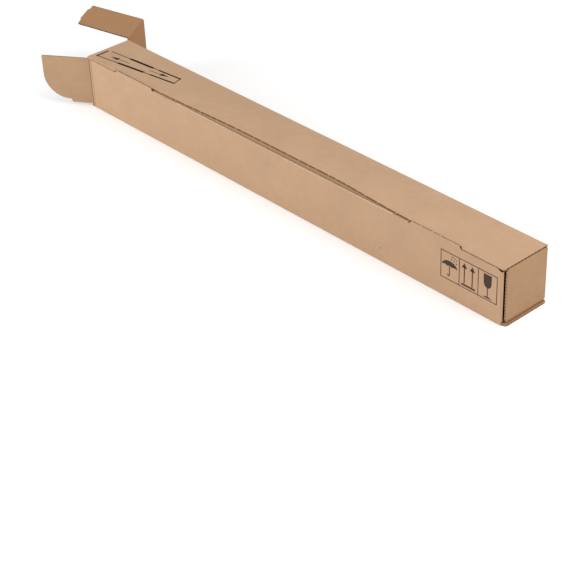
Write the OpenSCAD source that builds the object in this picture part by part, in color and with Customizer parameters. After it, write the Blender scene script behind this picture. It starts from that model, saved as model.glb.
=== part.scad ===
// Long square shipping carton folded from one sheet of corrugated board.
// The far end (-X) stands open, the near end (+X) is tucked shut.
// X runs along the carton, the seam is on the front (-Y), the floor is Z = 0.

/* [Carton] */
// Length of the top panel
carton_l = 1130; // [700:1:1600]
// Width over the front and back walls
carton_w = 108; // [90:1:160]
// Height from the floor to the top panel's face
carton_h = 113; // [90:1:160]
// Thickness of the corrugated board
board = 3; // [2:0.1:4]
// Play between layers of board that slide past each other
play = 0.6; // [0.4:0.1:1.2]
// Gap between the two sides of a hinged fold
hinge_gap = 0.4; // [0.3:0.1:0.8]

/* [Bottom panel] */
// How far the bottom panel reaches past the top panel at each end
lip = 4; // [2:0.5:10]
// Corner radius of the bottom panel's ends
lip_r = 6; // [2:0.5:12]
// How far the lip's sides stand in from the walls
lip_inset = 1; // [0.5:0.5:4]

/* [Long seam] */
// Depth of the flap tucked in behind the front wall
seam_flap_d = 40; // [25:1:60]
// Distance from each end to the nearest lock tab
tab_start = 95; // [80:1:150]
// Length of a lock tab
tab_l = 119; // [60:1:140]
// Height of a lock tab above the front wall's edge
tab_rise = 4.8; // [3:0.1:8]
// How far a lock tab's ends slant
tab_slant = 4; // [2:0.5:8]
// How far the seam gapes between the tabs
gape = 7; // [0:0.5:14]
// Length over which the gape opens, from the far tab
gape_lead = 285; // [100:5:400]
// Length over which the gape closes, to the near tab
gape_tail = 205; // [100:5:400]
// How far the seam flap leans in where the seam gapes most
seam_lean = 10; // [0:1:20]

/* [End lids] */
// Gap between a closed lid's free edge and the front wall's face
lid_clear = 8; // [4:0.5:15]
// How far the closed near lid stands in from the top panel's end
lid_inset = 0.3; // [0:0.1:2]
// Depth of the tuck flaps that slide in between the walls
tuck_d = 66; // [40:1:75]
// Radius of a tuck flap's outer corner
tuck_r = 50; // [30:1:60]
// Radius of a tuck flap's corner at the hinge side
tuck_hinge_r = 10; // [4:1:20]
// How far a tuck flap's sides stand in from the lid's edges
tuck_inset = 3; // [2:0.5:8]
// Length of the slot along the bottom tuck flap's fold
slot_l = 42; // [20:1:60]
// Width of that slot
slot_w = 5.5; // [3:0.5:8]
// Distance from the lid's hinge to that slot
slot_start = 34; // [20:1:50]

/* [Top flap of the open lid] */
// Depth of the flap
top_flap_d = 115; // [60:1:120]
// How far its free edge is narrowed at each side
top_flap_taper = 2; // [0:0.5:8]
// Depth of the tongue on its free edge
tongue_d = 3; // [1:0.5:8]
// Width of that tongue
tongue_w = 50; // [20:1:70]

/* [Dust flaps] */
// Distance from the top panel's far end to the open dust flap's fold
far_dust_setback = 3; // [2:0.5:15]
// How far the dust flap of the shut end leans in behind its lid
near_dust_lean = 42; // [0:1:60]
// Gap between a closed dust flap's tip and the back wall
dust_tip_gap = 1.5; // [1:0.5:6]
// Radius of a dust flap's lower outer corner
dust_r = 56; // [20:1:60]
// Height of the step beside the lower lobe
dust_step = 7; // [3:0.5:12]
// Radius of the lobe's corner
lobe_r = 4; // [2:0.5:6]

/* [Pose] */
// Angle of the far lid, from shut
lid_open = 147; // [100:1:170]
// Tilt of the far lid's top flap above level
top_flap_tilt = 12; // [0:1:60]
// Angle of the far dust flap, from shut
dust_open = 125; // [95:1:160]

/* [Colours] */
// Board in the light
kraft = "#c9a27a"; // [#c9a27a, #bf9468, #d6b48f]
// Board of the lids
kraft_lid = "#b8895d"; // [#b8895d, #a97c52, #c9a27a]

/* [Hidden] */
$fn = 64;

half_l = carton_l / 2;
half_w = carton_w / 2;
half_board = board / 2;
seat = play / 2;
overlap = 2 * board / 3;

// Lid hinges run up the ends of the back wall, in the middle of its thickness.
lid_axis_y = half_w - half_board;
far_axis_x = -half_l - hinge_gap - half_board;
near_axis_x = half_l - lid_inset - half_board;
lid_w = carton_w - half_board - lid_clear;
lid_foot = board + play;
lid_head = carton_h - board - play;

// The far top flap folds just above the top panel, so that it can lie on it.
top_fold_z = carton_h + hinge_gap + half_board;

// Dust flaps hinge on the ends of the front wall.
dust_axis_y = -half_w + half_board;
far_dust_x = -half_l + far_dust_setback;
dust_l = carton_w - 3 * half_board - dust_tip_gap;
dust_foot = lid_foot + board + play;
far_dust_head = lid_head;
near_dust_head = lid_head - board - play;

// Ends of the walls.
front_x0 = far_dust_x + half_board + hinge_gap;
front_x1 = near_axis_x - half_board - play - board;
back_x0 = far_axis_x + half_board + hinge_gap;
back_x1 = near_axis_x - half_board - hinge_gap;
wall_top = carton_h - board - seat;
wall_corner_r = 2 * board;

// The top panel turns about its back fold where the seam gapes.
fold_y = half_w - board;
fold_z = carton_h - board;
seam_reach = carton_w - 3 * board - play;
seam_x0 = -half_l + tab_start;
seam_x1 = half_l - tab_start;
tabs_end = tab_start + tab_l;
seam_steps = 40;
bend_steps = 5;

function ramp(u) = let (v = min(1, max(0, u))) v * v * (3 - 2 * v);

// Rise of the top panel's front edge at a place along the carton
function lift(x) =
    gape * ramp((x + half_l - tabs_end) / gape_lead) * ramp((half_l - tabs_end - x) / gape_tail);

// Outer side of a fold about a point in (y, z), from one angle to another
function bend_arc(centre, from, to) =
    let (step = (to - from) / bend_steps)
    [for (i = [0:bend_steps]) centre + board * [cos(from + i * step), sin(from + i * step)]];

// Outline of the back fold, top panel and seam flap, cut across the carton
function seam_section(x) =
    let (
        turn = asin(lift(x) / seam_reach),
        lean = gape > 0 ? seam_lean * lift(x) / gape : 0,
        down = [sin(lean), -cos(lean)],
        out = [-cos(lean), -sin(lean)],
        fold = [fold_y, fold_z],
        bend = fold + seam_reach * [-cos(turn), sin(turn)],
        points = concat(
            [fold + [board, -overlap]],
            bend_arc(fold, 0, 90 - turn),
            bend_arc(bend, 90 - turn, 180 + lean),
            [bend + board * out + seam_flap_d * down, bend + seam_flap_d * down],
            [bend, fold, fold + [0, -overlap]]
        )
    )
    [for (p = points) [x, p[0], p[1]]];

// Solid through a row of seam sections, each end closed by a fan at the fold and one at the bend
module seam_skin(sections) {
    n = len(sections[0]);
    last = (len(sections) - 1) * n;
    fold = n - 2;
    bend = n - 3;
    bend_start = bend_steps + 2;
    fans = concat(
        [[fold, n - 1, 0]],
        [for (i = [0:bend_start - 1]) [fold, i, i + 1]],
        [[fold, bend_start, bend]],
        [for (i = [bend_start:bend - 2]) [bend, i, i + 1]]
    );
    polyhedron(
        points = [for (s = sections) each s],
        faces = concat(
            fans,
            [for (f = fans) [last + f[0], last + f[2], last + f[1]]],
            [for (k = [0:n:last - n], i = [0:n - 1]) [k + i, k + n + i, k + n + (i + 1) % n]],
            [for (k = [0:n:last - n], i = [0:n - 1]) [k + i, k + n + (i + 1) % n, k + (i + 1) % n]]
        )
    );
}

// What is cut away to round a corner whose centre is the origin
module corner_cut(r) {
    difference() {
        square(r + 1);
        circle(r = r);
    }
}

// Plate standing in the XZ plane, its outline given in (x, z), from y to y + board
module standing(y) {
    translate([0, y + board, 0]) rotate([90, 0, 0]) linear_extrude(board) children();
}

// Section in (y, z), drawn along X between two places
module along_x(x0, x1) {
    translate([x0, 0, 0]) rotate([90, 0, 90]) linear_extrude(x1 - x0) children();
}

// Fold between the bottom panel and a wall; it runs on into both, so that they are one.
module bottom_fold(x0, x1, side) {
    inner = [side * (half_w - board), board];
    along_x(x0, x1) polygon(concat(
        [inner + [side * board, overlap]],
        bend_arc(inner, side > 0 ? 360 : 180, 270),
        [inner + [-side * overlap, -board], inner + [-side * overlap, 0], inner, inner + [0, overlap]]
    ));
}

module bottom_panel() {
    lip_w = carton_w - 2 * lip_inset;
    total_l = carton_l + 2 * lip;
    linear_extrude(board) difference() {
        translate([-total_l / 2, -lip_w / 2]) square([total_l, lip_w]);
        translate([front_x0 - hinge_gap, -half_w]) square([front_x1 - front_x0 + 2 * hinge_gap, board]);
        translate([back_x0 - hinge_gap, half_w - board])
            square([back_x1 - back_x0 + 2 * hinge_gap, board]);
        for (sx = [0, 1], sy = [0, 1]) mirror([sx, 0]) mirror([0, sy])
            translate([total_l / 2 - lip_r, lip_w / 2 - lip_r]) corner_cut(lip_r);
    }
}

// Front wall with its two lock tabs, seen from the front
module front_wall_outline() {
    difference() {
        translate([front_x0, board]) square([front_x1 - front_x0, wall_top - board]);
        translate([front_x1 - wall_corner_r, wall_top - wall_corner_r]) corner_cut(wall_corner_r);
        translate([front_x0 + wall_corner_r, wall_top - wall_corner_r])
            mirror([1, 0]) corner_cut(wall_corner_r);
    }
    for (side = [0, 1]) mirror([side, 0]) translate([half_l - tab_start, wall_top]) polygon([
        [0, -board], [0, 0], [-tab_slant, tab_rise],
        [tab_slant - tab_l, tab_rise], [-tab_l, 0], [-tab_l, -board]
    ]);
}

module walls() {
    standing(-half_w) front_wall_outline();
    bottom_fold(front_x0, front_x1, -1);
    standing(half_w - board)
        translate([back_x0, board]) square([back_x1 - back_x0, carton_h - 2 * board]);
    bottom_fold(back_x0, back_x1, 1);
}

// Plain end of the top panel with its back fold, which rests on the front wall's edge
module top_end(x0, x1) {
    front_y = seat - half_w;
    fold = [fold_y, fold_z];
    along_x(x0, x1) polygon(concat(
        [fold + [board, -overlap]],
        bend_arc(fold, 0, 90),
        [[front_y, carton_h], [front_y, fold_z], fold, fold + [0, -overlap]]
    ));
}

module top_panel() {
    step = (seam_x1 - seam_x0) / seam_steps;
    seam_skin([for (i = [0:seam_steps]) seam_section(seam_x0 + i * step)]);
    top_end(back_x0, seam_x0 + overlap);
    top_end(seam_x1 - overlap, back_x1);
    translate([back_x1 - overlap, seat - half_w, fold_z])
        cube([half_l - back_x1 + overlap, fold_y + half_w - seat, board]);
    translate([back_x1 + hinge_gap, fold_y - overlap, fold_z])
        cube([half_l - back_x1 - hinge_gap, board - lip_inset + overlap, board]);
}

// Dust flap, its hinge line on Z and its tip towards +Y, seen in (y, z)
module dust_outline(head) {
    body_foot = dust_foot + dust_step;
    lobe_l = dust_l - dust_r;
    difference() {
        translate([0, body_foot]) square([dust_l, head - body_foot]);
        translate([lobe_l, body_foot + dust_r]) mirror([0, 1]) corner_cut(dust_r);
    }
    difference() {
        translate([0, dust_foot]) square([lobe_l, dust_step + board]);
        translate([lobe_l - lobe_r, dust_foot + lobe_r]) mirror([0, 1]) corner_cut(lobe_r);
    }
}

module dust_plate(head) {
    translate([-half_board, 0, 0]) rotate([90, 0, 90]) linear_extrude(board) dust_outline(head);
}

// Fold and thickness of the near dust flap seen from above, about the fold's inner corner.
// It starts inside the front wall, so that the two are one.
module near_dust_plan() {
    along = [-sin(near_dust_lean), cos(near_dust_lean)];
    out = [cos(near_dust_lean), sin(near_dust_lean)];
    tip = (dust_l - board) * along;
    polygon(concat(
        [[-overlap, -board]],
        bend_arc([0, 0], -90, near_dust_lean),
        [tip + board * out, tip, [0, 0], [-overlap, 0]]
    ));
}

// The near dust flap goes straight on from the front wall and leans in behind the near lid.
module near_dust_flap() {
    translate([front_x1, -half_w + board, 0]) intersection() {
        linear_extrude(carton_h) near_dust_plan();
        rotate([0, 0, near_dust_lean]) translate([-2 * board, -board, 0])
            rotate([90, 0, 90]) linear_extrude(4 * board) {
                dust_outline(near_dust_head);
                translate([-board, dust_foot]) square([2 * board, near_dust_head - dust_foot]);
            }
    }
}

module sleeve() {
    color(kraft) {
        bottom_panel();
        walls();
        top_panel();
        near_dust_flap();
    }
}

// Flat outline of a tuck flap in (x, y): its fold on x = 0, the lid's hinge at y = 0
module tuck_outline() {
    free_y = tuck_inset - lid_w;
    difference() {
        translate([0, free_y]) square([tuck_d, lid_w - 2 * tuck_inset]);
        translate([tuck_d - tuck_r, free_y + tuck_r]) mirror([0, 1]) corner_cut(tuck_r);
        translate([tuck_d - tuck_hinge_r, -tuck_inset - tuck_hinge_r]) corner_cut(tuck_hinge_r);
    }
}

module slot_outline() {
    r = slot_w / 2;
    translate([half_board + r, 0]) {
        translate([-r, r - slot_start - slot_l]) square([slot_w, slot_l - slot_w]);
        for (y = [-slot_start - r, r - slot_start - slot_l]) translate([0, y]) circle(r = r);
    }
}

// Tuck flap turned in from a lid's edge at height z; up is 1 at the lid's foot and -1 at its head
module tuck_flap(z, up) {
    inner_x = half_board;
    fold_l = lid_w - 2 * tuck_inset;
    translate([inner_x, 0, up > 0 ? z : z - board]) linear_extrude(board) difference() {
        tuck_outline();
        if (up > 0) slot_outline();
    }
    intersection() {
        translate([inner_x, -tuck_inset, z + up * board])
            rotate([90, 0, 0]) cylinder(r = board, h = fold_l);
        translate([-half_board, tuck_inset - lid_w, up > 0 ? z : z - board])
            cube([board, fold_l, board]);
    }
}

// Lid panel, its hinge line on Z and its free edge towards -Y, the inside towards +X
module lid_panel(foot, head) {
    cylinder(r = half_board, h = head - foot);
    translate([-half_board, -lid_w, 0]) cube([board, lid_w, head - foot]);
}

module at_far_lid() {
    translate([far_axis_x, lid_axis_y, 0]) rotate([0, 0, -lid_open]) children();
}

module far_end_lid() {
    head = top_fold_z - half_board - hinge_gap;
    color(kraft_lid) at_far_lid() {
        translate([0, 0, lid_foot + board]) lid_panel(lid_foot + board, head);
        tuck_flap(lid_foot, 1);
    }
}

// Free edge of the top flap has a shallow tongue in its middle.
module top_flap_outline() {
    fold_l = lid_w - 2 * tuck_inset;
    mid_y = -lid_w / 2;
    side_d = top_flap_d - tongue_d;
    polygon([
        [0, mid_y + fold_l / 2], [side_d, mid_y + fold_l / 2 - top_flap_taper],
        [side_d, mid_y + tongue_w / 2], [top_flap_d, mid_y + tongue_w / 2 - tongue_d],
        [top_flap_d, mid_y - tongue_w / 2 + tongue_d], [side_d, mid_y - tongue_w / 2],
        [side_d, mid_y - fold_l / 2 + top_flap_taper], [0, mid_y - fold_l / 2]
    ]);
}

module far_top_flap() {
    color(kraft_lid) at_far_lid() translate([0, 0, top_fold_z]) rotate([0, -top_flap_tilt, 0]) {
        translate([0, 0, -half_board]) linear_extrude(board) top_flap_outline();
        translate([0, -tuck_inset, 0])
            rotate([90, 0, 0]) cylinder(r = half_board, h = lid_w - 2 * tuck_inset);
    }
}

module far_dust_flap() {
    color(kraft) translate([far_dust_x, dust_axis_y, 0]) rotate([0, 0, dust_open]) {
        dust_plate(far_dust_head);
        translate([0, 0, dust_foot]) cylinder(r = half_board, h = far_dust_head - dust_foot);
    }
}

module near_end_lid() {
    color(kraft_lid) translate([near_axis_x, lid_axis_y, 0]) mirror([1, 0, 0]) {
        translate([0, 0, lid_foot + board]) lid_panel(lid_foot + board, lid_head - board);
        tuck_flap(lid_foot, 1);
        tuck_flap(lid_head, -1);
    }
}

sleeve();
far_end_lid();
far_top_flap();
far_dust_flap();
near_end_lid();
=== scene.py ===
"""Looks of a long square shipping carton: sheets of corrugated board with liners, flutes, folds and print.

Lengths are in millimetres until a mesh is made. A place on a sheet is (b, a, n): b along the flutes,
a across them and n through the board, from its inner face.
"""

import math

import bmesh
import bpy
import numpy as np
from mathutils import Matrix, Vector
from mathutils.geometry import tessellate_polygon


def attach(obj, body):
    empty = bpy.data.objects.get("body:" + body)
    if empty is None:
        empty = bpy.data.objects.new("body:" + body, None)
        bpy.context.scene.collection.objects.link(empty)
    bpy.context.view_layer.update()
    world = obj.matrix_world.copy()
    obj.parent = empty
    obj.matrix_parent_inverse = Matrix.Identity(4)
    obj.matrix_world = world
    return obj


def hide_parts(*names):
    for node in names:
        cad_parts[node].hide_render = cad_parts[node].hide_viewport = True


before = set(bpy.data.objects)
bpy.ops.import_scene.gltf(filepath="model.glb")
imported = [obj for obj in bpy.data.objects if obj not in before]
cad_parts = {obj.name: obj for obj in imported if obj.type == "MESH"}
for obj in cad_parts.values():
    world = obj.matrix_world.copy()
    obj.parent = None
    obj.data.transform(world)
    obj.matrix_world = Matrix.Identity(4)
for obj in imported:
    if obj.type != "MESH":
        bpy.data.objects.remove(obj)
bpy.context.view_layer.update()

MM = 0.001

# Carton sizes, as in the CAD source
HALF_L, HALF_W, HEIGHT, BOARD = 565.0, 54.0, 113.0, 3.0
HALF_BOARD = BOARD / 2
PLAY, HINGE_GAP = 0.6, 0.4
SEAT = PLAY / 2
LIP, LIP_R, LIP_INSET = 4.0, 6.0, 1.0
TAB_START, TAB_L, TAB_RISE, TAB_SLANT = 95.0, 119.0, 4.8, 4.0
GAPE, GAPE_LEAD, GAPE_TAIL = 7.0, 285.0, 205.0
SEAM_FLAP = 40.0
LID_CLEAR, LID_INSET = 8.0, 0.3
TUCK_D, TUCK_R, TUCK_HINGE_R, TUCK_INSET = 66.0, 50.0, 10.0, 3.0
SLOT_L, SLOT_W, SLOT_START = 42.0, 5.5, 34.0
FLAP_D, FLAP_TAPER = 115.0, 2.0
TONGUE_D, TONGUE_W = 3.0, 50.0
DUST_SETBACK, DUST_TIP_GAP = 3.0, 1.5
DUST_R, DUST_STEP, LOBE_R = 56.0, 7.0, 4.0
LID_OPEN, FLAP_TILT, DUST_OPEN, NEAR_DUST_LEAN = 147.0, 12.0, 125.0, 42.0

# Places that follow from them
INNER_Y = HALF_W - BOARD
FOLD_Y, FOLD_Z = INNER_Y, HEIGHT - BOARD
LID_AXIS = (-HALF_L - HINGE_GAP - HALF_BOARD, HALF_W - HALF_BOARD)
NEAR_AXIS = (HALF_L - LID_INSET - HALF_BOARD, HALF_W - HALF_BOARD)
DUST_AXIS = (DUST_SETBACK - HALF_L, HALF_BOARD - HALF_W)
LID_W = 2 * HALF_W - HALF_BOARD - LID_CLEAR
LID_FOOT, LID_HEAD = BOARD + PLAY, HEIGHT - BOARD - PLAY
FLAP_FOLD_Z = HEIGHT + HINGE_GAP + HALF_BOARD
DUST_L = 2 * HALF_W - 3 * HALF_BOARD - DUST_TIP_GAP
DUST_FOOT, NEAR_DUST_HEAD = LID_FOOT + BOARD + PLAY, LID_HEAD - BOARD - PLAY
FRONT_X0 = DUST_AXIS[0] + HALF_BOARD + HINGE_GAP
FRONT_X1 = NEAR_AXIS[0] - HALF_BOARD - PLAY - BOARD
BACK_X0, BACK_X1 = -HALF_L, NEAR_AXIS[0] - HALF_BOARD - HINGE_GAP
WALL_TOP = FOLD_Z - SEAT
TAB_TOP = WALL_TOP + TAB_RISE
SEAM_REACH = 2 * HALF_W - 3 * BOARD - PLAY
SEAM_END = HALF_L - TAB_START
GAPE_END = SEAM_END - TAB_L

# Forms that are finer here than in the solids
SEAM_LEAN = 1.0
WALL_CORNER_R, CORNER_CUT, CORNER_DROP = 6.0, 9.0, 5.0
WALL_TURN = 2.5
CREASE_AT, CREASE_GAP, CREASE_R = 7.0, 1.1, 1.0

# Corrugated board
LINER = 0.42
FLUTE_PITCH = 6.4
FLUTE_PAPER = 0.3
FLUTE_STEPS = 8
FOLD_STEPS = 6
SEAM_STEPS = 94
CUT_RECESS = 0.25
CORE_R, HINGE_CORE_R = 0.08, 0.05
OUT, IN = 1000.0, -1000.0

# Perforated lines and open flutes: lengths of a dash and of the bridge after it
SEAM_DASH = (23.0, 1.9)
END_DASH = (16.0, 1.8)
TAB_DASH = (20.0, 2.5)
TOP_FLUTE_DASH = (5.6, 2.6)
LIP_FLUTE_DASH = (4.0, 2.4)
SLIT_D = 1.9


class Soup:
    """Closed shells in millimetres, each vertex with its place on the flat sheet and its side."""

    def __init__(self):
        self.points, self.faces, self.sheet = [], [], []

    def add(self, points, faces, sheet):
        start = len(self.points)
        self.points += points
        self.sheet += sheet
        self.faces += [tuple(start + i for i in f) for f in faces]

    def build(self, name, material, body):
        mesh = bpy.data.meshes.new(name)
        mesh.from_pydata([[c * MM for c in p] for p in self.points], [], self.faces)
        place = mesh.attributes.new("sheet", "FLOAT_VECTOR", "POINT")
        place.data.foreach_set("vector", (np.array(self.sheet, np.float32) * MM).ravel())
        work = bmesh.new()
        work.from_mesh(mesh)
        bmesh.ops.recalc_face_normals(work, faces=work.faces)
        work.to_mesh(mesh)
        work.free()
        mesh.shade_smooth()
        mesh.set_sharp_from_angle(angle=math.radians(32))
        mesh.materials.append(material)
        obj = bpy.data.objects.new(name, mesh)
        bpy.context.scene.collection.objects.link(obj)
        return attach(obj, body)


def slab(soup, loops, place, n0, n1, side=0.0, sheet=None):
    """A flat outline with holes, thick from n0 to n1."""
    sheet = sheet or (lambda b, a, n: (b, a))
    flat = [p for loop in loops for p in loop]
    count = len(flat)
    tris = tessellate_polygon([[Vector((b, a, 0)) for b, a in loop] for loop in loops])
    faces = [tuple(t) for t in tris] + [tuple(count + i for i in reversed(t)) for t in tris]
    start = 0
    for loop in loops:
        size = len(loop)
        for i in range(size):
            j = (i + 1) % size
            faces.append((start + i, start + j, count + start + j, count + start + i))
        start += size
    points = [place(b, a, n) for n in (n0, n1) for b, a in flat]
    soup.add(points, faces, [(*sheet(b, a, n), side) for n in (n0, n1) for b, a in flat])


def crossings(loops, a):
    """Where a line along the flutes at a crosses the outline."""
    found = []
    for loop in loops:
        for (b0, a0), (b1, a1) in zip(loop, loop[1:] + loop[:1]):
            if (a0 <= a) != (a1 <= a):
                found.append(b0 + (b1 - b0) * (a - a0) / (a1 - a0))
    return sorted(found)


def tube(soup, columns, place):
    """A wavy paper through columns of (a, b0, b1, n)."""
    half = FLUTE_PAPER / 2
    points, faces, sheet = [], [], []
    for a, b0, b1, n in columns:
        ring = [(b0, n + half), (b1, n + half), (b1, n - half), (b0, n - half)]
        points += [place(b, a, m) for b, m in ring]
        sheet += [(b, a, 0.0) for b, m in ring]
    for i in range(len(columns) - 1):
        for k in range(4):
            faces.append((4 * i + k, 4 * i + (k + 1) % 4, 4 * i + 4 + (k + 1) % 4, 4 * i + 4 + k))
    last = 4 * (len(columns) - 1)
    soup.add(points, faces + [(0, 1, 2, 3), (last, last + 1, last + 2, last + 3)], sheet)


def flutes(soup, loops, place):
    """The fluted paper between the liners, cut to the outline."""
    rows = [a for b, a in loops[0]]
    lo, hi = min(rows) + 0.5, max(rows) - 0.5
    count = max(FLUTE_STEPS, round((hi - lo) / FLUTE_PITCH * FLUTE_STEPS))
    swing = (BOARD - 2 * LINER - FLUTE_PAPER) / 2
    runs, previous = [], None
    for i in range(count + 1):
        a = lo + (hi - lo) * i / count
        n = HALF_BOARD + swing * math.sin(2 * math.pi * a / FLUTE_PITCH)
        cuts = crossings(loops, a)
        spans = [(p + CUT_RECESS, q - CUT_RECESS) for p, q in zip(cuts[::2], cuts[1::2]) if q - p > 1.0]
        if len(spans) != previous:
            runs.append([[] for _ in spans])
            previous = len(spans)
        for row, (p, q) in zip(runs[-1], spans):
            row.append((a, p, q, n))
    for run in runs:
        for columns in run:
            if len(columns) > 1:
                tube(soup, columns, place)


def panel(liners, medium, loops, place, outer_parts=None):
    """A flat sheet of board; its outer liner can be cut in parts along creases."""
    slab(liners, loops, place, 0.0, LINER, IN)
    for part in outer_parts or [loops]:
        slab(liners, part, place, BOARD - LINER, BOARD, OUT)
    flutes(medium, loops, place)


def edge_strip(medium, run, place):
    """Crushed board along a cut that runs with the flutes; run is the cut's line of (b, a)."""
    near, deep = 0.12, 1.1
    band = [(b, a - near) for b, a in run] + [(b, a - deep) for b, a in reversed(run)]
    slab(medium, [band], place, LINER, BOARD - LINER)


def rounded(points):
    """An outline from (b, a, radius) corners, each rounded by its radius."""
    out = []
    for i, (b, a, r) in enumerate(points):
        if r <= 0:
            out.append((b, a))
            continue
        here = Vector((b, a))
        u = (Vector(points[i - 1][:2]) - here).normalized()
        v = (Vector(points[(i + 1) % len(points)][:2]) - here).normalized()
        half = math.acos(max(-1.0, min(1.0, u.dot(v)))) / 2
        centre = here + (u + v).normalized() * (r / math.sin(half))
        start, end = here + u * (r / math.tan(half)) - centre, here + v * (r / math.tan(half)) - centre
        turn = math.atan2(start.x * end.y - start.y * end.x, start.dot(end))
        steps = max(4, round(abs(turn) * math.sqrt(r) * 2.2))
        for k in range(steps + 1):
            c, s = math.cos(turn * k / steps), math.sin(turn * k / steps)
            out.append((centre.x + c * start.x - s * start.y, centre.y + s * start.x + c * start.y))
    return out


def sector(r0, r1, from_deg, to_deg):
    """Outline of a fold's section: a ring sector about the inner corner."""
    angles = [math.radians(from_deg + (to_deg - from_deg) * i / FOLD_STEPS) for i in range(FOLD_STEPS + 1)]
    return [(r1 * math.cos(t), r1 * math.sin(t)) for t in angles] + [
        (r0 * math.cos(t), r0 * math.sin(t)) for t in reversed(angles)
    ]


def fold(liners, medium, place, from_deg, to_deg, t0, t1):
    """A fold along t: its outer liner, and crushed board inside it, a little short of the ends."""
    along = lambda u, v, t: (t, math.atan2(v, u) * BOARD)
    slab(liners, [sector(BOARD - LINER, BOARD, from_deg, to_deg)], place, t0, t1, OUT, along)
    core = [sector(CORE_R, BOARD - LINER, from_deg, to_deg)]
    slab(medium, core, place, t0 + CUT_RECESS, t1 - CUT_RECESS, 0.0, along)


def hinge_round(liners, place, t0, t1):
    """The rounded edge of a flap at its hinge, half a turn about the hinge line."""
    slab(liners, [sector(HINGE_CORE_R, HALF_BOARD, 0, 180)], place, t0, t1, OUT, lambda u, v, t: (v, t))


def smooth_step(u):
    """Eases from 0 to 1 as u does."""
    v = min(1.0, max(0.0, u))
    return v * v * (3 - 2 * v)


def lift(x):
    """Rise of the top panel's front edge where the seam gapes."""
    return GAPE * smooth_step((x + GAPE_END) / GAPE_LEAD) * smooth_step((GAPE_END - x) / GAPE_TAIL)


def turned(centre, r, from_rad, to_rad):
    """Points (y, z) of an arc."""
    angles = [from_rad + (to_rad - from_rad) * i / FOLD_STEPS for i in range(FOLD_STEPS + 1)]
    return [(centre[0] + r * math.cos(t), centre[1] + r * math.sin(t)) for t in angles]


def creased(corner, w, from_rad, to_rad):
    """Points (y, z) of a sharp crease about an inner corner, w from the inner face."""
    inset = BOARD - CREASE_R
    r = w - inset if w > inset else w
    mid, half = (from_rad + to_rad) / 2, (to_rad - from_rad) / 2
    reach = (w - r) / math.cos(half)
    return turned((corner[0] + reach * math.cos(mid), corner[1] + reach * math.sin(mid)), r, from_rad, to_rad)


def seam_state(x):
    """Turn of the top panel, lean of the seam flap and the crease's inner corner at x."""
    turn = math.asin(lift(x) / SEAM_REACH)
    lean = math.radians(SEAM_LEAN) * lift(x) / GAPE
    return turn, lean, (FOLD_Y - SEAM_REACH * math.cos(turn), FOLD_Z + SEAM_REACH * math.sin(turn))


def top_path(x, w):
    """Back fold and top panel, to the front edge of its crease."""
    turn, lean, corner = seam_state(x)
    path = turned((FOLD_Y, FOLD_Z), w, 0.0, math.pi / 2 - turn)
    return path + creased(corner, w, math.pi / 2 - turn, math.pi + lean)


def flap_path(x, w):
    """Seam flap below the crease."""
    turn, lean, corner = seam_state(x)
    y, z = creased(corner, w, math.pi / 2 - turn, math.pi + lean)[-1]
    crease_turn = 2.5
    drops = (0.0, 6.0, SEAM_FLAP / 2, SEAM_FLAP - crease_turn)
    return [(y + drop * math.sin(lean), z - drop * math.cos(lean)) for drop in drops]


def slit_path(x, w):
    """Cut along the crease, from its top to a little way down the flap, less near the tabs."""
    turn, lean, corner = seam_state(x)
    arc = creased(corner, w, math.pi / 2 - turn, math.pi + lean)
    y, z = arc[-1]
    far_fade = 0.3 + 0.7 * smooth_step((x + GAPE_END) / 130)
    near_fade = 0.6 + 0.4 * smooth_step((GAPE_END - x) / 90)
    drop = SLIT_D * far_fade * near_fade
    return arc[2:] + [(y + drop * math.sin(lean), z - drop * math.cos(lean))]


def ribbon(soup, xs, path, w0, w1, side):
    """A sheet between two depths of the board, its section path(x, w) drawn along the carton."""
    points, sheet, faces = [], [], []
    for x in xs:
        for w in (w1, w0):
            length, last = 0.0, None
            for y, z in path(x, w):
                length += math.dist((y, z), last) if last else 0.0
                last = (y, z)
                points.append((x, y, z))
                sheet.append((x, length, side))
    count = len(points) // (2 * len(xs))
    ring = [*range(count), *range(2 * count - 1, count - 1, -1)]
    for i in range(len(xs) - 1):
        here, there = 2 * count * i, 2 * count * (i + 1)
        for p, q in zip(ring, ring[1:] + ring[:1]):
            faces.append((here + p, here + q, there + q, there + p))
    for end in (0, 2 * count * (len(xs) - 1)):
        for k in range(count - 1):
            faces.append((end + k, end + k + 1, end + count + k + 1, end + count + k))
    soup.add(points, faces, sheet)


def seam_places():
    """Places along the seam, from the far lock tab's outer end to the near one's."""
    return [-SEAM_END + 2 * SEAM_END * i / SEAM_STEPS for i in range(SEAM_STEPS + 1)]


def build_seam_flap(liners):
    """Outer liner of the seam flap, which shows in the gaping seam, in a darker kraft that is painted shade
    of the recess.
    """
    ribbon(liners, seam_places(), flap_path, BOARD - LINER, BOARD, OUT)


def dashes(x0, x1, dash, bridge):
    """Stretches of a perforated line, of uneven length."""
    x, i = x0, 0
    while x < x1 - bridge:
        end = min(x1, x + dash * (1 + 0.3 * math.sin(2.4 * i)))
        yield x, end
        x = end + bridge * (1 + 0.3 * math.sin(1.7 * i))
        i += 1


def bar(soup, x0, x1, y0, y1, z0, z1):
    """A block along the axes."""
    slab(soup, [[(x0, y0), (x1, y0), (x1, y1), (x0, y1)]], lambda b, a, n: (b, a, n), z0, z1)


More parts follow.
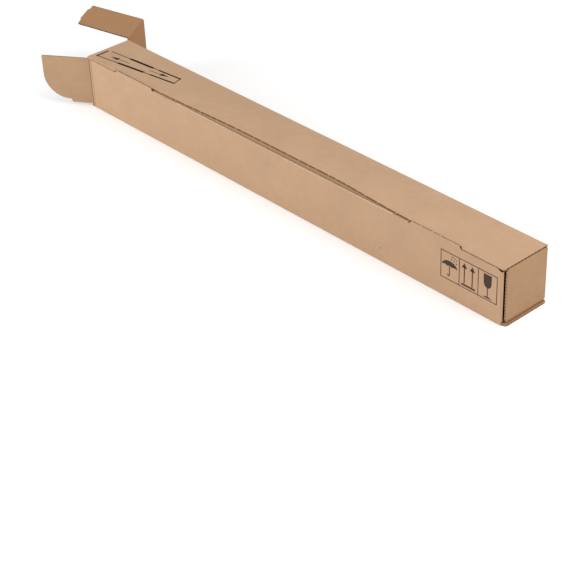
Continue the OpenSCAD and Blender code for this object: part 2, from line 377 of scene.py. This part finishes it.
def build_crease_cuts(shade):
    """Painted shade in the cuts along the seam, with short bridges of liner left between them."""
    deep, proud, past = 0.2, 0.05, 3.0
    for x0, x1 in dashes(-GAPE_END - past, GAPE_END + past, *SEAM_DASH):
        xs = [x0 + (x1 - x0) * k / 3 for k in range(4)]
        ribbon(shade, xs, slit_path, BOARD - deep, BOARD + proud, 0.0)
    # painted shade line between the wall and the plain ends of the top panel
    over, inward, spread, short = 0.04, 1.5, 0.4, 1.0
    far_run = (FRONT_X0 + WALL_CORNER_R, -SEAM_END - short)
    near_run = (SEAM_END + short, FRONT_X1 - CORNER_CUT)
    for run in (far_run, near_run):
        for x0, x1 in dashes(*run, *END_DASH):
            bar(shade, x0, x1, -HALF_W - over, -HALF_W + inward, WALL_TOP - spread, FOLD_Z + spread)
    # painted shade along the tops of the tabs, between the liners
    inset, skin, depth = TAB_SLANT + 1.5, 1.3, 0.6
    for side in (1, -1):
        ends = sorted((side * (SEAM_END - inset), side * (SEAM_END - TAB_L + inset)))
        for x0, x1 in dashes(*ends, *TAB_DASH):
            bar(shade, x0, x1, skin - HALF_W, BOARD - LINER - HALF_W, TAB_TOP - depth, TAB_TOP + over)


def build_gaps(dark):
    """Painted shade: dark slabs in the gaps beside the tabs, in the wall's cut corner and at the shut end."""
    width, deep, proud = 2.6, 1.5, 0.05
    foot_z, head_z, out_z = WALL_TOP - 0.3, TAB_TOP - 0.4, TAB_TOP - 0.6
    for side in (1, -1):
        for foot, slant in ((side * SEAM_END, -side), (side * (SEAM_END - TAB_L), side)):
            head, out = foot + slant * TAB_SLANT, -slant * width
            loop = [(foot, foot_z), (head, head_z), (head + out, out_z), (foot + out, foot_z)]
            slab(dark, [loop], lambda b, a, n: (b, -HALF_W - n, a), -deep, proud)
    # painted shade behind the wall's cut corner
    corner_x = (FRONT_X1 - CORNER_CUT, FRONT_X1 + 1.6)
    corner_y = (0.9 - HALF_W, 1.5 - HALF_W)
    bar(dark, *corner_x, *corner_y, WALL_TOP - WALL_CORNER_R, WALL_TOP)
    # painted shade in the open flutes at the end of the top panel
    top_x, top_y, top_z = (HALF_L - 0.4, HALF_L + 0.03), (-47.0, 50.0), (FOLD_Z + 0.3, FOLD_Z + 2.0)
    for flute_y in dashes(*top_y, *TOP_FLUTE_DASH):
        bar(dark, *top_x, *flute_y, *top_z)
    # painted shadow line between the shut lid and the lip below it
    line_x, line_y, line_z = (HALF_L + 0.1, HALF_L + 1.1), (-46.0, 49.0), (BOARD - 0.3, BOARD + 0.03)
    bar(dark, *line_x, *line_y, *line_z)
    # painted shade in the open flutes of the lip
    lip_end = HALF_L + LIP
    lip_x, lip_y, lip_z = (lip_end - 0.6, lip_end - 0.05), (-44.0, 47.0), (0.7, BOARD - 0.7)
    for flute_y in dashes(*lip_y, *LIP_FLUTE_DASH):
        bar(dark, *lip_x, *flute_y, *lip_z)


def build_wall_creases(shade):
    """Painted shade in the pressed creases of the front wall beside the open dust flap."""
    proud, deep, short = 0.03, 0.3, 1.5
    for x, width in ((FRONT_X0 + 0.1, 1.6), (FRONT_X0 + CREASE_AT - CREASE_GAP, CREASE_GAP)):
        bar(shade, x, x + width, -HALF_W - proud, -HALF_W + deep, BOARD, WALL_TOP - short)


def build_wall_edge(edge):
    """Cut edge of the front wall along the gaping seam: pale cut fibres, with a painted highlight along its
    top.
    """
    x0, x1 = -GAPE_END + 75.0, GAPE_END - 40.0
    proud, deep = 0.02, 0.5
    bar(edge, x0, x1, -HALF_W - proud, -INNER_Y + proud, WALL_TOP - deep, WALL_TOP + 0.03)


def build_flute_tips(tips):
    """Crests of the fluted paper along the free edge of the shut lid, drawn pale: painted light against the
    slot's shade.
    """
    x, y = NEAR_AXIS[0], NEAR_AXIS[1] - LID_W
    count, crest, first = 15, 3.4, LID_FOOT + BOARD + 5.0
    back, proud, deep = 1.2, 0.03, 0.4
    for i in range(count):
        z = first + FLUTE_PITCH * i
        bar(tips, x - back, x + HALF_BOARD, y - proud, y + deep, z, z + crest)


def build_lid_fold(liners):
    """Outer liner that runs up from the open lid and round the edge of its top flap."""
    r, flare = HALF_BOARD + 0.07, HALF_BOARD + 0.25
    outer = [(-HALF_BOARD, HEIGHT - 0.02), (-flare, HEIGHT + 1.2), (-flare, FLAP_FOLD_Z + 0.05)]
    angles = np.linspace(math.pi, 1.31 * math.pi, 6)
    arc = [(r * math.cos(t), FLAP_FOLD_Z + r * math.sin(t)) for t in angles]
    loop = outer + arc + [(-0.9, HEIGHT + 0.02)]
    place = lambda g, z, s: far_lid_place(s, z, g)
    slab(liners, [loop], place, TUCK_INSET, LID_W - TUCK_INSET, OUT, lambda g, z, s: (s, z))


def build_sleeve(liners, medium):
    """Bottom, walls and top, with the seam flap and the dust flap of the shut end."""
    lip_y, lip_x, set_back = HALF_W - LIP_INSET, HALF_L + LIP, 1.0
    # bottom panel, its lip set back at the front corner of the shut end
    bottom = rounded([
        (-lip_x, -lip_y, LIP_R), (FRONT_X0 - HINGE_GAP, -lip_y, 0), (FRONT_X0 - HINGE_GAP, -INNER_Y, 0),
        (FRONT_X1 + WALL_TURN, -INNER_Y, 0), (lip_x, set_back - INNER_Y, LIP_R - set_back),
        (lip_x, lip_y, LIP_R), (BACK_X1 + HINGE_GAP, lip_y, 0), (BACK_X1 + HINGE_GAP, INNER_Y, 0),
        (BACK_X0 - HINGE_GAP, INNER_Y, 0), (BACK_X0 - HINGE_GAP, lip_y, 0), (-lip_x, lip_y, LIP_R),
    ])
    panel(liners, medium, [bottom], lambda b, a, n: (b, a, BOARD - n))

    # front wall with lock tabs; its outer liner is parted at the crease beside the dust flap
    def tab(end, sign):
        far, slant, r = end - sign * TAB_L, sign * TAB_SLANT, 1.2
        return [(end, WALL_TOP, 0), (end - slant, TAB_TOP, r), (far + slant, TAB_TOP, r), (far, WALL_TOP, 0)]

    top_run = tab(SEAM_END, 1) + tab(-SEAM_END, -1)[::-1]
    near_corner = [(FRONT_X1, WALL_TOP - CORNER_DROP, 2.0), (FRONT_X1 - CORNER_CUT, WALL_TOP, 3.0)]
    on_front = lambda b, a, n: (b, -INNER_Y - n, a)
    near_side = [(FRONT_X1, BOARD, 0), *near_corner]
    wall = rounded([(FRONT_X0, BOARD, 0), *near_side, *top_run, (FRONT_X0, WALL_TOP, WALL_CORNER_R)])
    crease = FRONT_X0 + CREASE_AT
    strip = rounded([(FRONT_X0, BOARD, 0), (crease - CREASE_GAP, BOARD, 0),
                     (crease - CREASE_GAP, WALL_TOP, 0), (FRONT_X0, WALL_TOP, WALL_CORNER_R - 2)])
    main = rounded([(crease, BOARD, 0), *near_side, *top_run, (crease, WALL_TOP, 0)])
    panel(liners, medium, [wall], on_front, [[strip], [main]])
    edge_ends = (FRONT_X1 - CORNER_CUT, WALL_TOP, 0), (FRONT_X0 + WALL_CORNER_R, WALL_TOP, 0)
    edge_strip(medium, rounded([edge_ends[0], *top_run, edge_ends[1]]), on_front)
    front_fold = lambda u, v, t: (t, -INNER_Y + u, BOARD + v)
    fold(liners, medium, front_fold, 180, 270, FRONT_X0, FRONT_X1 + WALL_TURN)
    # back wall
    back = [(BACK_X0, BOARD), (BACK_X1, BOARD), (BACK_X1, FOLD_Z), (BACK_X0, FOLD_Z)]
    panel(liners, medium, [back], lambda b, a, n: (b, INNER_Y + n, a))
    fold(liners, medium, lambda u, v, t: (t, INNER_Y + u, BOARD + v), 270, 360, BACK_X0, BACK_X1)
    # plain ends of the top panel
    front_y, back_y = SEAT - HALF_W, HALF_W - LIP_INSET
    on_top = lambda b, a, n: (b, a, FOLD_Z + n)
    far_end = rounded([
        (-HALF_L, front_y, 0.4), (-SEAM_END, front_y, 1.0), (-SEAM_END, FOLD_Y, 0), (-HALF_L, FOLD_Y, 0),
    ])
    near_end = rounded([
        (SEAM_END, front_y, 1.0), (HALF_L, front_y, 1.5), (HALF_L, back_y, 1.0),
        (BACK_X1 + HINGE_GAP, back_y, 0), (BACK_X1 + HINGE_GAP, FOLD_Y, 0), (SEAM_END, FOLD_Y, 0),
    ])
    for end in (far_end, near_end):
        panel(liners, medium, [end], on_top)
    short = 1.5
    for x0, x1 in ((-HALF_L, -SEAM_END), (SEAM_END, HALF_L)):
        run = [(x1 - short, front_y), (x0 + short, front_y)]
        edge_strip(medium, run, lambda b, a, n: (b, 2 * front_y - a, FOLD_Z + n))
    back_fold = lambda u, v, t: (t, FOLD_Y + u, FOLD_Z + v)
    fold(liners, medium, back_fold, 0, 90, BACK_X0, -SEAM_END)
    fold(liners, medium, back_fold, 0, 90, SEAM_END, BACK_X1)
    # gaping top panel; the outer liner of its seam flap is a piece of its own, darker as painted shade
    xs = seam_places()
    ribbon(liners, xs, lambda x, w: top_path(x, w) + flap_path(x, w)[1:], 0.05, LINER, IN)
    ribbon(liners, xs, top_path, BOARD - LINER, BOARD, OUT)
    # dust flap behind the shut lid
    lean = math.radians(NEAR_DUST_LEAN)
    c, d = math.cos(lean), math.sin(lean)
    on_dust = lambda b, a, n: (FRONT_X1 + c * n - d * (b - BOARD), -INNER_Y + d * n + c * (b - BOARD), a)
    panel(liners, medium, [dust_outline(NEAR_DUST_HEAD, BOARD)], on_dust)
    near_fold = lambda u, v, t: (FRONT_X1 + u, -INNER_Y + v, t)
    fold(liners, medium, near_fold, 270, 360 + NEAR_DUST_LEAN, DUST_FOOT, NEAR_DUST_HEAD)
    fold(liners, medium, near_fold, 270, 335, BOARD, DUST_FOOT)


def dust_outline(head, start=0.0):
    """Dust flap in (distance from its fold, height)."""
    lobe, body = DUST_L - DUST_R, DUST_FOOT + DUST_STEP
    return rounded([
        (start, DUST_FOOT, 0), (lobe, DUST_FOOT, LOBE_R), (lobe, body, 0.8),
        (DUST_L, body, DUST_R - 1.5), (DUST_L, head, 1.0), (start, head, 0),
    ])


def tuck_outline(slotted):
    """Tuck flap in (distance from the lid's hinge, depth), with its slot if it has one."""
    near, far = TUCK_INSET, LID_W - TUCK_INSET
    loops = [rounded([(near, 0, 0), (far, 0, 0), (far, TUCK_D, TUCK_R), (near, TUCK_D, TUCK_HINGE_R)])]
    if slotted:
        d0, d1, r = HALF_BOARD, HALF_BOARD + SLOT_W, SLOT_W / 2 - 0.01
        b0, b1 = SLOT_START, SLOT_START + SLOT_L
        loops.append(rounded([(b0, d0, r), (b0, d1, r), (b1, d1, r), (b1, d0, r)]))
    return loops


def far_lid_place(s, z, g):
    """A point of the open lid: s from its hinge, g towards its inside from the middle of the board."""
    t = math.radians(-LID_OPEN)
    c, d = math.cos(t), math.sin(t)
    return (LID_AXIS[0] + c * g + d * s, LID_AXIS[1] + d * g - c * s, z)


def near_lid_place(s, z, g):
    """A point of the shut lid, in the same terms."""
    return (NEAR_AXIS[0] - g, NEAR_AXIS[1] - s, z)


def build_lid(liners, medium, at, foot, head, top_tuck):
    """A lid with its tuck flaps; at(s, z, g) places it."""
    half, r = HALF_BOARD, 2.0
    lid = rounded([(0, foot, 0), (LID_W, foot, r), (LID_W, head, r), (0, head, 0)])
    panel(liners, medium, [lid], lambda b, a, n: at(b, a, half - n))
    hinge_round(liners, lambda u, v, t: at(-v, t, u), foot, head)
    ends = (TUCK_INSET, LID_W - TUCK_INSET)
    fold(liners, medium, lambda u, v, t: at(t, foot + v, half + u), 180, 270, *ends)
    panel(liners, medium, tuck_outline(True), lambda b, a, n: at(b, foot - n, half + a))
    if top_tuck:
        fold(liners, medium, lambda u, v, t: at(t, head + v, half + u), 90, 180, *ends)
        panel(liners, medium, tuck_outline(False), lambda b, a, n: at(b, head + n, half + a))


def build_top_flap(liners, medium):
    """Deep flap on the open lid, with a shallow tongue at its free edge."""
    c, d = math.cos(math.radians(FLAP_TILT)), math.sin(math.radians(FLAP_TILT))
    at = lambda s, depth, m: far_lid_place(s, FLAP_FOLD_Z + depth * d + m * c, depth * c - m * d)
    mid, near, far = LID_W / 2, TUCK_INSET, LID_W - TUCK_INSET
    side_d, half_tongue = FLAP_D - TONGUE_D, TONGUE_W / 2
    outline = rounded([
        (near, 0, 0), (far, 0, 0), (far - FLAP_TAPER, side_d, 1.0), (mid + half_tongue, side_d, 0.8),
        (mid + half_tongue - TONGUE_D, FLAP_D, 1.0), (mid - half_tongue + TONGUE_D, FLAP_D, 1.0),
        (mid - half_tongue, side_d, 0.8), (near + FLAP_TAPER, side_d, 1.0),
    ])
    panel(liners, medium, [outline], lambda b, a, n: at(b, a, n - HALF_BOARD))
    hinge_round(liners, lambda u, v, t: at(t, -v, u), near, far)


def build_dust_flap(liners, medium):
    """Dust flap of the open end, swung out."""
    t = math.radians(DUST_OPEN)
    c, d = math.cos(t), math.sin(t)
    at = lambda s, z, m: (DUST_AXIS[0] - d * s - c * m, DUST_AXIS[1] + c * s - d * m, z)
    panel(liners, medium, [dust_outline(LID_HEAD)], lambda b, a, n: at(b, a, n - HALF_BOARD))
    hinge_round(liners, lambda u, v, h: at(-v, h, u), DUST_FOOT, LID_HEAD)


class Graph:
    """A material's nodes, wired in the order they are made."""

    def __init__(self, name):
        self.material = bpy.data.materials.new(name)
        self.material.use_nodes = True
        self.nodes, self.links = self.material.node_tree.nodes, self.material.node_tree.links
        self.nodes.clear()

    def node(self, kind, values=None, **settings):
        made = self.nodes.new(kind)
        for key, value in settings.items():
            setattr(made, key, value)
        for key, value in (values or {}).items():
            if isinstance(value, bpy.types.NodeSocket):
                self.links.new(value, made.inputs[key])
            else:
                made.inputs[key].default_value = value
        return made

    def maths(self, operation, a, b=0.0):
        return self.node("ShaderNodeMath", {0: a, 1: b}, operation=operation).outputs[0]

    def noise(self, vector, scale, detail=3.0, rough=0.55):
        values = {"Vector": vector, "Scale": scale, "Detail": detail, "Roughness": rough}
        return self.node("ShaderNodeTexNoise", values).outputs["Fac"]

    def stretch(self, vector, scale):
        return self.node("ShaderNodeVectorMath", {0: vector, 1: scale}, operation="MULTIPLY").outputs[0]

    def span(self, value, low, high, to_low=0.0, to_high=1.0):
        made = self.node("ShaderNodeMapRange", {"Value": value, "From Min": low, "From Max": high,
                                                "To Min": to_low, "To Max": to_high})
        return made.outputs["Result"]

    def mix(self, fac, a, b, blend="MIX"):
        made = self.node("ShaderNodeMix", data_type="RGBA", blend_type=blend)
        for socket, value in ((made.inputs[0], fac), (made.inputs[6], a), (made.inputs[7], b)):
            if isinstance(value, bpy.types.NodeSocket):
                self.links.new(value, socket)
            else:
                socket.default_value = value
        return made.outputs[2]

    def finish(self, colour, roughness, height, distance, specular=0.25):
        bump = self.node("ShaderNodeBump", {"Height": height, "Distance": distance, "Strength": 1.0})
        shader = self.node("ShaderNodeBsdfPrincipled", {
            "Base Color": colour, "Roughness": roughness, "Normal": bump.outputs[0],
            "Specular IOR Level": specular})
        self.node("ShaderNodeOutputMaterial", {"Surface": shader.outputs[0]})
        return self.material


def rgb(r, g, b):
    """Linear colour of an sRGB one in 0 to 255."""
    shares = [c / 255 for c in (r, g, b)]
    linear = [c / 12.92 if c <= 0.04045 else ((c + 0.055) / 1.055) ** 2.4 for c in shares]
    return (*linear, 1.0)


def kraft(name, outside, inside):
    """Kraft liner: mottled, with fibres, specks and the faint ridges of the flutes below it."""
    g = Graph(name)
    place = g.node("ShaderNodeAttribute", attribute_name="sheet").outputs["Vector"]
    parts = g.node("ShaderNodeSeparateXYZ", {0: place})
    base = g.mix(g.span(parts.outputs[2], -1.0, 1.0), inside, outside)
    cloud = g.noise(place, 14.0, 4.0)
    patch = g.noise(place, 70.0, 4.0, 0.6)
    fibre = g.noise(g.stretch(place, (1900.0, 420.0, 1.0)), 1.0, 4.0, 0.65)
    speck = g.noise(g.stretch(place, (1400.0, 900.0, 1.0)), 1.0, 2.0, 0.5)
    ridge = g.maths("SINE", g.maths("MULTIPLY", parts.outputs[1], 2 * math.pi / (FLUTE_PITCH * MM)))
    tone = g.maths("ADD", g.span(cloud, 0.3, 0.7, 0.955, 1.035), g.span(patch, 0.3, 0.7, -0.03, 0.03))
    tone = g.maths("ADD", tone, g.span(fibre, 0.25, 0.75, -0.07, 0.07))
    tone = g.maths("ADD", tone, g.maths("MULTIPLY", ridge, 0.012))
    grey = g.node("ShaderNodeCombineColor", {0: tone, 1: tone, 2: tone}).outputs[0]
    colour = g.mix(1.0, base, grey, "MULTIPLY")
    dark = g.span(speck, 0.70, 0.78, 0.0, 0.35)
    light = g.span(speck, 0.30, 0.22, 0.0, 0.22)
    colour = g.mix(dark, colour, rgb(120, 82, 50))
    colour = g.mix(light, colour, rgb(232, 208, 176))
    height = g.maths("ADD", g.maths("MULTIPLY", fibre, 0.35), g.maths("MULTIPLY", ridge, 0.22))
    height = g.maths("ADD", height, g.maths("MULTIPLY", patch, 0.5))
    return g.finish(colour, g.span(fibre, 0.2, 0.8, 0.74, 0.9), height, 0.00009)


def medium_paper(name, low, high):
    """Fluted paper and crushed board at the cut edges; the pale cut board also serves as a painted highlight.
    """
    g = Graph(name)
    place = g.node("ShaderNodeAttribute", attribute_name="sheet").outputs["Vector"]
    fibre = g.noise(g.stretch(place, (900.0, 1500.0, 1.0)), 1.0, 4.0, 0.6)
    colour = g.mix(g.span(fibre, 0.3, 0.7), low, high)
    return g.finish(colour, 0.92, fibre, 0.0001, 0.15)


def ink_and_shade(name, dark, thin_tone):
    """Flexo print, stains and painted shade of gaps and creases: dark, lying thin and patchy on the liner."""
    g = Graph(name)
    place = g.node("ShaderNodeAttribute", attribute_name="sheet").outputs["Vector"]
    blot = g.noise(g.stretch(place, (700.0, 700.0, 1.0)), 1.0, 4.0, 0.7)
    colour = g.mix(g.span(blot, 0.52, 0.75, 0.0, 0.7), dark, thin_tone)
    return g.finish(colour, 0.7, blot, 0.00003)


kraft_outer = kraft("kraft_board", rgb(209, 171, 137), rgb(190, 150, 112))
# the lids and flaps are the same board as the sleeve: their darker, browner kraft below is painted shade
kraft_shaded_lid = kraft("kraft_board_lid_painted_shade", rgb(183, 136, 94), rgb(184, 142, 103))
kraft_shaded_top_flap = kraft("kraft_board_top_flap_painted_shade", rgb(191, 145, 105), rgb(184, 142, 103))
kraft_shaded_end = kraft("kraft_board_end_painted_shade", rgb(192, 152, 115), rgb(190, 148, 108))
kraft_shaded_dust_flap = kraft("kraft_board_dust_flap_painted_shade", rgb(199, 163, 128), rgb(193, 153, 116))
kraft_shaded_seam = kraft("kraft_board_seam_painted_shade", rgb(180, 143, 108), rgb(180, 143, 108))
paper = medium_paper("fluted_paper", rgb(188, 150, 113), rgb(222, 190, 155))
# pale cut board: cut fibres, and a painted highlight on the wall's top edge and the lid's flute crests
cut_and_highlight = medium_paper("cut_board_and_painted_highlight", rgb(222, 192, 160), rgb(238, 212, 182))
print_ink = ink_and_shade("print_ink", rgb(74, 56, 52), rgb(128, 98, 78))
stain = ink_and_shade("board_stain", rgb(120, 88, 62), rgb(160, 124, 92))
# dark colours of painted shade in the gaps, cuts and creases
gap_shade = ink_and_shade("painted_gap_shade", rgb(50, 30, 17), rgb(84, 56, 34))
crease_shade = ink_and_shade("crease_shade", rgb(116, 81, 53), rgb(136, 99, 69))

SHEETS = [
    ("sleeve", "sleeve", kraft_outer, "board_outside", build_sleeve),
    ("far_end_lid", "far_lid", kraft_shaded_lid, "board_lid",
     lambda liners, medium: build_lid(liners, medium, far_lid_place, LID_FOOT + BOARD, HEIGHT, False)),
    ("far_top_flap", "far_flap", kraft_shaded_top_flap, "board_lid", build_top_flap),
    ("far_dust_flap", "far_dust", kraft_shaded_dust_flap, "board_flap", build_dust_flap),
    ("near_end_lid", "near_lid", kraft_shaded_end, "board_lid",
     lambda liners, medium: build_lid(
         liners, medium, near_lid_place, LID_FOOT + BOARD, LID_HEAD - BOARD, True)),
]
for node, body, material, slot, make in SHEETS:
    liner_soup, medium_soup = Soup(), Soup()
    make(liner_soup, medium_soup)
    sheet = liner_soup.build(node + "_board", material, body)
    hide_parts(node)
    core = medium_soup.build(node + "_flutes", paper, body)

TRIMS = [
    ("seam_flap", "sleeve", kraft_shaded_seam, "board_outside", build_seam_flap),
    ("crease_cut_shade", "sleeve", crease_shade, "board_outside", build_crease_cuts),
    ("gaps", "sleeve", gap_shade, "board_outside", build_gaps),
    ("wall_crease_shade", "sleeve", crease_shade, "board_outside", build_wall_creases),
    ("wall_edge", "sleeve", cut_and_highlight, "board_outside", build_wall_edge),
    ("flute_tips", "near_lid", cut_and_highlight, "board_lid", build_flute_tips),
    ("lid_fold", "far_lid", kraft_shaded_lid, "board_lid", build_lid_fold),
]
for name, body, material, slot, make in TRIMS:
    soup = Soup()
    make(soup)
    soup.build(name, material, body)

# Print

INK_UNDER, INK_OVER = -0.03, 0.08  # from the liner's face


def stroke(points, width, closed=False):
    """Outlines of a line of some width, one loop per stretch, each reaching half a width past its ends."""
    pairs = list(zip(points, points[1:] + points[:1] if closed else points[1:]))
    loops = []
    for (x0, y0), (x1, y1) in pairs:
        u = Vector((x1 - x0, y1 - y0)).normalized() * width / 2
        v = Vector((-u.y, u.x))
        p, q = Vector((x0, y0)) - u, Vector((x1, y1)) + u
        loops.append([tuple(p - v), tuple(q - v), tuple(q + v), tuple(p + v)])
    return loops


def disc(x, y, r, steps=14):
    """Outline of a round dot."""
    angles = [2 * math.pi * i / steps for i in range(steps)]
    return [(x + r * math.cos(t), y + r * math.sin(t)) for t in angles]


def printed(name, shapes, place, material):
    """A print on the sleeve, a hair above the liner."""
    soup = Soup()
    for loop in shapes:
        slab(soup, [loop], place, INK_UNDER, INK_OVER)
    obj = soup.build(name, material, "sleeve")


def handling_marks():
    """Frame of three cells on the front wall: umbrella, two arrows and a glass."""
    x0, x1, z0, z1 = 425.6, 550.6, 37.9, 91.0
    dividers = (467.3, 509.6)
    line, stem, shaft, base, drop_r = 1.6, 1.9, 2.4, 3.7, 1.3
    shapes = stroke([(x0, z0), (x1, z0), (x1, z1), (x0, z1)], line, True)
    for x in dividers:
        shapes += stroke([(x, z0 + line), (x, z1 - line)], line)
    height = z1 - z0

    def cell(left, right):
        return lambda u, v: (left + u * (right - left), z0 + v * height)

    # umbrella with rain
    at = cell(x0, dividers[0])
    mid, half, rim, rise, sag = 0.48, 0.415, 0.49, 0.215, 0.035
    angles = [math.pi * i / 16 for i in range(17)]
    arc = [at(mid - half * math.cos(t), rim + rise * math.sin(t)) for t in angles]
    shares = [i / 24 for i in range(1, 24)]
    scallops = [at(mid + half * (1 - 2 * t), rim + sag * abs(math.sin(3 * math.pi * t))) for t in shares]
    shapes.append(arc + scallops)
    hook = [(0.475, 0.5), (0.475, 0.2), (0.46, 0.165), (0.425, 0.148), (0.39, 0.16), (0.375, 0.19)]
    shapes += stroke([at(*p) for p in hook], stem)
    for u, v in ((0.63, 0.9), (0.75, 0.88), (0.58, 0.8), (0.715, 0.765), (0.85, 0.84), (0.85, 0.72)):
        shapes.append(disc(*at(u, v), drop_r))
    # two arrows on a bar
    at = cell(*dividers)
    for u in (0.27, 0.69):
        shapes += stroke([at(u, 0.18), at(u, 0.76)], shaft)
        shapes.append([at(u - 0.145, 0.73), at(u + 0.145, 0.73), at(u, 0.91)])
    shapes += stroke([at(0.16, 0.105), at(0.81, 0.105)], base)
    # glass
    at = cell(dividers[1], x1)
    left_side = [(0.28, 0.93), (0.29, 0.62), (0.31, 0.545), (0.36, 0.48), (0.43, 0.44)]
    right_side = [(1 - u, v) for u, v in reversed(left_side)]
    shapes.append([at(*p) for p in [*left_side, (0.5, 0.43), *right_side]])
    shapes += stroke([at(0.5, 0.44), at(0.5, 0.1)], stem)
    foot = [(0.26, 0.06), (0.74, 0.06), (0.74, 0.075), (0.55, 0.115), (0.45, 0.115), (0.26, 0.075)]
    shapes.append([at(*p) for p in foot])
    printed("handling_marks", shapes, lambda u, v, n: (u, -HALF_W - n, v), print_ink)


def opening_mark():
    """Slim frame with two arrows that point apart, on the top panel near the open end."""
    shift_x, shift_y = 5.2, -1.3
    at = lambda x, y: (x - HALF_L + shift_x, y - HALF_W + shift_y)
    front_l, front_r, back_l, back_r = (7.1, 18.5), (219.2, 48.2), (14.6, 50.6), (213.9, 68.9)

    def between(p, q, t):
        return at(p[0] + (q[0] - p[0]) * t, p[1] + (q[1] - p[1]) * t)

    line, thin, thick, bold, shaft = 2.4, 2.2, 4.0, 6.0, 1.6
    left_end, left_line = (6.2, 45.6), 4.5
    shapes = stroke([at(*front_l), at(*front_r)], line)
    shapes += stroke([at(*back_l), at(*back_r)], thin)
    shapes += stroke([at(*front_l), at(*left_end)], left_line)
    shapes += stroke([at(*back_r), at(*front_r)], line)
    for p, q in ((front_l, front_r), (back_l, back_r)):
        shapes += stroke([between(p, q, 0.29), between(p, q, 0.6)], bold)
        shapes += stroke([between(p, q, 0.7), between(p, q, 1.0)], thick)
    head_l, head_half = 22.0, 5.0
    for tip, tail in (((31.5, 34.5), (84.0, 42.0)), ((191.0, 57.8), (139.0, 49.8))):
        d = Vector((tip[0] - tail[0], tip[1] - tail[1])).normalized()
        side = Vector((-d.y, d.x))
        neck = Vector(tip) - d * head_l
        shapes.append([at(*tip), at(*(neck + side * head_half)), at(*(neck - side * head_half))])
        shapes += stroke([at(*neck), at(*tail)], shaft)
    printed("opening_mark", shapes, lambda u, v, n: (u, v, HEIGHT + n), print_ink)


def wall_spot():
    """Small uneven stain on the front wall."""
    x, z, half_l, half_h = 282.0, 28.5, 2.0, 1.3
    spot = []
    for t in np.linspace(0, 2 * math.pi, 18, endpoint=False):
        u = half_l * math.cos(t) * (1 + 0.25 * math.sin(3 * t))
        v = half_h * math.sin(t) * (1 + 0.2 * math.cos(2 * t))
        spot.append((x + u, z + v))
    printed("wall_spot", [spot], lambda u, v, n: (u, -HALF_W - n, v), stain)


handling_marks()
opening_mark()
wall_spot()


# Floor, light and camera

def make_floor():
    """Pale floor that keeps the shadow and turns white away from the carton for the camera."""
    mesh = bpy.data.meshes.new("floor")
    half = 14.0
    corners = [(-half, -half, 0), (half, -half, 0), (half, half, 0), (-half, half, 0)]
    mesh.from_pydata(corners, [], [(0, 1, 2, 3)])
    g = Graph("floor")
    path = g.node("ShaderNodeLightPath")
    place = g.node("ShaderNodeTexCoord").outputs["Object"]
    away = g.node("ShaderNodeVectorMath", {0: place}, operation="LENGTH")
    near, far, near_glow, far_glow = 0.9, 2.6, 0.36, 0.7
    level = g.span(away.outputs["Value"], near, far, near_glow, far_glow)
    white = g.node("ShaderNodeBsdfDiffuse", {"Color": (0.86, 0.86, 0.86, 1.0)})
    strength = g.maths("MULTIPLY", path.outputs["Is Camera Ray"], level)
    glow = g.node("ShaderNodeEmission", {"Color": (1.0, 1.0, 1.0, 1.0), "Strength": strength})
    both = g.node("ShaderNodeAddShader", {0: white.outputs[0], 1: glow.outputs[0]})
    g.node("ShaderNodeOutputMaterial", {"Surface": both.outputs[0]})
    mesh.materials.append(g.material)
    floor = bpy.data.objects.new("floor", mesh)
    bpy.context.scene.collection.objects.link(floor)


def area_light(name, at, aim, size, power, colour=(1.0, 1.0, 1.0)):
    """A round soft light at a place in metres, turned to an aim."""
    lamp = bpy.data.lights.new(name, "AREA")
    lamp.color = colour
    lamp.shape, lamp.size, lamp.energy = "DISK", size, power
    obj = bpy.data.objects.new(name, lamp)
    obj.location = at
    obj.rotation_euler = (Vector(aim) - Vector(at)).to_track_quat("-Z", "Y").to_euler()
    bpy.context.scene.collection.objects.link(obj)


def make_world(ambient):
    """White surroundings: full white for the camera, dimmer as light."""
    world = bpy.data.worlds.new("studio")
    world.use_nodes = True
    nodes, links = world.node_tree.nodes, world.node_tree.links
    nodes.clear()
    path = nodes.new("ShaderNodeLightPath")
    span = nodes.new("ShaderNodeMapRange")
    span.inputs["To Min"].default_value, span.inputs["To Max"].default_value = ambient, 1.0
    links.new(path.outputs["Is Camera Ray"], span.inputs["Value"])
    back = nodes.new("ShaderNodeBackground")
    back.inputs["Color"].default_value = (1.0, 1.0, 1.0, 1.0)
    links.new(span.outputs["Result"], back.inputs["Strength"])
    out = nodes.new("ShaderNodeOutputWorld")
    links.new(back.outputs[0], out.inputs["Surface"])
    bpy.context.scene.world = world


def make_camera():
    """The photograph's view, from a camera fitted to the carton's corners."""
    focal_px, frame_px = 1649.2, 582
    turn, down, roll = math.radians(49.421), math.radians(33.953), math.radians(2.647)
    at = (2.0110, -1.7634, 1.5802)
    cam = bpy.data.cameras.new("camera")
    cam.sensor_width = 36.0
    cam.lens = focal_px * cam.sensor_width / frame_px
    look = Vector((-math.sin(turn) * math.cos(down), math.cos(turn) * math.cos(down), -math.sin(down)))
    right = Vector((math.cos(turn), math.sin(turn), 0.0))
    up = right.cross(look)
    right, up = right * math.cos(roll) - up * math.sin(roll), up * math.cos(roll) + right * math.sin(roll)
    obj = bpy.data.objects.new("camera", cam)
    axes = Matrix((right, up, -look)).transposed().to_4x4()
    obj.matrix_world = Matrix.Translation(at) @ axes
    bpy.context.scene.collection.objects.link(obj)
    bpy.context.scene.camera = obj


make_floor()
make_world(ambient=0.476)
area_light("key", (-2.2, -2.9, 1.1), (0.0, 0.0, 0.05), 2.2, 49.0)
area_light("top_fill", (1.8, 0.4, 2.5), (0.5, 0.0, 0.0), 2.4, 37.5)
area_light("side_fill", (2.4, -0.7, 1.2), (0.5, 0.0, 0.05), 1.2, 4.0)
area_light("left_fill", (-1.25, -0.75, 0.3), (-0.5, -0.05, 0.05), 0.4, 1.5, (0.72, 0.88, 1.0))
make_camera()
bpy.context.scene.view_settings.view_transform = "Standard"
